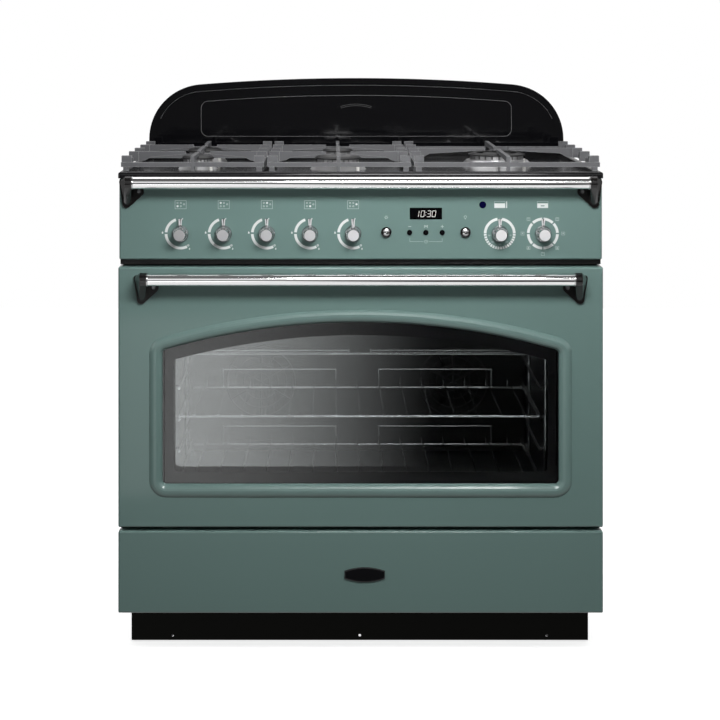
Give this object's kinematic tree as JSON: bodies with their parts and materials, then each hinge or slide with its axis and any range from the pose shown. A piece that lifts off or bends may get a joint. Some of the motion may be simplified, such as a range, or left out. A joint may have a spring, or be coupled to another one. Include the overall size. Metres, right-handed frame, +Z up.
{
  "type": "dual fuel range cooker",
  "caption": "Wide freestanding range cooker with a gas hob, one electric oven behind a drop-down glazed door, a pan drawer, a handrail and an arched splashback.",
  "frame": {"origin": "floor level under the middle of the bounding box", "axes": "+X to the right seen from the front, +Y to the back, +Z up from the floor; the doors and controls face -Y"},
  "size_m": [0.9, 0.648, 1.064],
  "materials": {
    "base_steel": "plain zinc coated steel",
    "rubber_black": "matte",
    "plinth_black": "satin black",
    "side_green": "satin",
    "galvanised": "galvanised",
    "oven_enamel": "speckled gloss enamel",
    "seal_rubber": "matte",
    "wire_chrome": "bright",
    "element_steel": "dark satin",
    "lamp_glass": "clear",
    "body_green": "soft gloss",
    "lens_black": "gloss",
    "gas_brass": "plain",
    "switch_plastic": "matte",
    "spindle_steel": "turned",
    "knob_chrome": "polished",
    "button_black": "gloss",
    "hob_enamel": "gloss enamel",
    "burner_aluminium": "satin",
    "electrode_white": "ceramic",
    "grate_iron": "matte enamel",
    "rail_steel": "satin polished",
    "bracket_black": "gloss black",
    "door_glass": "tinted",
    "door_inner_steel": "gloss enamel"
  },
  "bodies": {
    "cooker": {"base_frame": "base_steel", "feet": "base_steel", "plinth": "plinth_black", "side_panels": "side_green", "back_panel": "galvanised", "oven_cavity": "oven_enamel", "oven_front_frame": "oven_enamel", "oven_back_liner": "oven_enamel", "door_seal": "seal_rubber", "side_racks": "wire_chrome", "oven_shelves": "wire_chrome", "heating_elements": "element_steel", "oven_lamp": "lamp_glass", "fan_motors": "base_steel", "control_panel": "body_green", "panel_lenses": "lens_black", "gas_rail": "gas_brass", "oven_switches": "switch_plastic", "hob_tray": "hob_enamel", "burner_bodies": "burner_aluminium", "burner_caps": "hob_enamel", "spark_electrodes": "electrode_white", "splashback": "hob_enamel", "handrail_tube": "rail_steel", "handrail_brackets": "bracket_black", "hinge_arms": "base_steel", "drawer_runners": "galvanised"},
    "burner_spindle_1": {"burner_spindle_1": "spindle_steel"},
    "burner_knob_1": {"burner_knob_1": "knob_chrome"},
    "burner_spindle_2": {"burner_spindle_2": "spindle_steel"},
    "burner_knob_2": {"burner_knob_2": "knob_chrome"},
    "burner_spindle_3": {"burner_spindle_3": "spindle_steel"},
    "burner_knob_3": {"burner_knob_3": "knob_chrome"},
    "burner_spindle_4": {"burner_spindle_4": "spindle_steel"},
    "burner_knob_4": {"burner_knob_4": "knob_chrome"},
    "burner_spindle_5": {"burner_spindle_5": "spindle_steel"},
    "burner_knob_5": {"burner_knob_5": "knob_chrome"},
    "temperature_knob": {"temperature_knob": "knob_chrome"},
    "function_knob": {"function_knob": "knob_chrome"},
    "ignition_button": {"ignition_button": "knob_chrome"},
    "light_button": {"light_button": "knob_chrome"},
    "clock_button_minus": {"clock_button_minus": "button_black"},
    "clock_button_mode": {"clock_button_mode": "button_black"},
    "clock_button_plus": {"clock_button_plus": "button_black"},
    "pan_support_left": {"pan_support_left": "grate_iron"},
    "pan_support_middle": {"pan_support_middle": "grate_iron"},
    "pan_support_right": {"pan_support_right": "grate_iron"},
    "fan_left": {"fan_left": "galvanised"},
    "fan_right": {"fan_right": "galvanised"},
    "rear_roller_left": {"rear_roller_left": "rubber_black"},
    "rear_roller_right": {"rear_roller_right": "rubber_black"},
    "door": {"door_panel": "body_green", "door_outer_glass": "door_glass", "door_inner_frame": "door_inner_steel", "door_inner_glass": "door_glass", "door_handle_tube": "rail_steel", "door_handle_brackets": "bracket_black", "door_hinge_plates": "base_steel"},
    "drawer": {"drawer_front": "body_green", "drawer_box": "galvanised"}
  },
  "joints": [
    {"name": "burner_spindle_1_press", "type": "slide", "parent": "cooker", "child": "burner_spindle_1", "axis": [0, 1, 0], "range_m": [0, 0.003], "stiffness_N_per_m": 500, "springref_m": -0.006},
    {"name": "burner_knob_1_turn", "type": "hinge", "parent": "burner_spindle_1", "child": "burner_knob_1", "pos_m": [-0.334, -0.276, 0.7905], "axis": [0, -1, 0], "range_deg": [0, 210]},
    {"name": "burner_spindle_2_press", "type": "slide", "parent": "cooker", "child": "burner_spindle_2", "axis": [0, 1, 0], "range_m": [0, 0.003], "stiffness_N_per_m": 500, "springref_m": -0.006},
    {"name": "burner_knob_2_turn", "type": "hinge", "parent": "burner_spindle_2", "child": "burner_knob_2", "pos_m": [-0.254, -0.276, 0.7905], "axis": [0, -1, 0], "range_deg": [0, 210]},
    {"name": "burner_spindle_3_press", "type": "slide", "parent": "cooker", "child": "burner_spindle_3", "axis": [0, 1, 0], "range_m": [0, 0.003], "stiffness_N_per_m": 500, "springref_m": -0.006},
    {"name": "burner_knob_3_turn", "type": "hinge", "parent": "burner_spindle_3", "child": "burner_knob_3", "pos_m": [-0.174, -0.276, 0.7905], "axis": [0, -1, 0], "range_deg": [0, 210]},
    {"name": "burner_spindle_4_press", "type": "slide", "parent": "cooker", "child": "burner_spindle_4", "axis": [0, 1, 0], "range_m": [0, 0.003], "stiffness_N_per_m": 500, "springref_m": -0.006},
    {"name": "burner_knob_4_turn", "type": "hinge", "parent": "burner_spindle_4", "child": "burner_knob_4", "pos_m": [-0.094, -0.276, 0.7905], "axis": [0, -1, 0], "range_deg": [0, 210]},
    {"name": "burner_spindle_5_press", "type": "slide", "parent": "cooker", "child": "burner_spindle_5", "axis": [0, 1, 0], "range_m": [0, 0.003], "stiffness_N_per_m": 500, "springref_m": -0.006},
    {"name": "burner_knob_5_turn", "type": "hinge", "parent": "burner_spindle_5", "child": "burner_knob_5", "pos_m": [-0.014, -0.276, 0.7905], "axis": [0, -1, 0], "range_deg": [0, 210]},
    {"name": "temperature_knob_turn", "type": "hinge", "parent": "cooker", "child": "temperature_knob", "pos_m": [0.258, -0.276, 0.7905], "axis": [0, 1, 0], "range_deg": [0, 270]},
    {"name": "function_knob_turn", "type": "hinge", "parent": "cooker", "child": "function_knob", "pos_m": [0.338, -0.276, 0.7905], "axis": [0, 1, 0], "continuous": true},
    {"name": "ignition_button_press", "type": "slide", "parent": "cooker", "child": "ignition_button", "axis": [0, 1, 0], "range_m": [0, 0.0025], "stiffness_N_per_m": 300, "springref_m": -0.003},
    {"name": "light_button_press", "type": "slide", "parent": "cooker", "child": "light_button", "axis": [0, 1, 0], "range_m": [0, 0.0025], "stiffness_N_per_m": 300, "springref_m": -0.003},
    {"name": "clock_button_minus_press", "type": "slide", "parent": "cooker", "child": "clock_button_minus", "axis": [0, 1, 0], "range_m": [0, 0.001], "stiffness_N_per_m": 300, "springref_m": -0.002},
    {"name": "clock_button_mode_press", "type": "slide", "parent": "cooker", "child": "clock_button_mode", "axis": [0, 1, 0], "range_m": [0, 0.001], "stiffness_N_per_m": 300, "springref_m": -0.002},
    {"name": "clock_button_plus_press", "type": "slide", "parent": "cooker", "child": "clock_button_plus", "axis": [0, 1, 0], "range_m": [0, 0.001], "stiffness_N_per_m": 300, "springref_m": -0.002},
    {"name": "pan_support_left_lift", "type": "slide", "parent": "cooker", "child": "pan_support_left", "axis": [0, 0, 1], "range_m": [0, 0.15]},
    {"name": "pan_support_middle_lift", "type": "slide", "parent": "cooker", "child": "pan_support_middle", "axis": [0, 0, 1], "range_m": [0, 0.15]},
    {"name": "pan_support_right_lift", "type": "slide", "parent": "cooker", "child": "pan_support_right", "axis": [0, 0, 1], "range_m": [0, 0.15]},
    {"name": "fan_left_spin", "type": "hinge", "parent": "cooker", "child": "fan_left", "pos_m": [-0.203, 0.2, 0.425], "axis": [0, 1, 0], "continuous": true},
    {"name": "fan_right_spin", "type": "hinge", "parent": "cooker", "child": "fan_right", "pos_m": [0.203, 0.2, 0.425], "axis": [0, 1, 0], "continuous": true},
    {"name": "rear_roller_left_roll", "type": "hinge", "parent": "cooker", "child": "rear_roller_left", "pos_m": [-0.3795, 0.264, 0.025], "axis": [1, 0, 0], "continuous": true},
    {"name": "rear_roller_right_roll", "type": "hinge", "parent": "cooker", "child": "rear_roller_right", "pos_m": [0.3795, 0.264, 0.025], "axis": [1, 0, 0], "continuous": true},
    {"name": "door_hinge", "type": "hinge", "parent": "cooker", "child": "door", "pos_m": [0, -0.266, 0.256], "axis": [1, 0, 0], "range_deg": [0, 90]},
    {"name": "drawer_slide", "type": "slide", "parent": "cooker", "child": "drawer", "axis": [0, -1, 0], "range_m": [0, 0.38]}
  ]
}
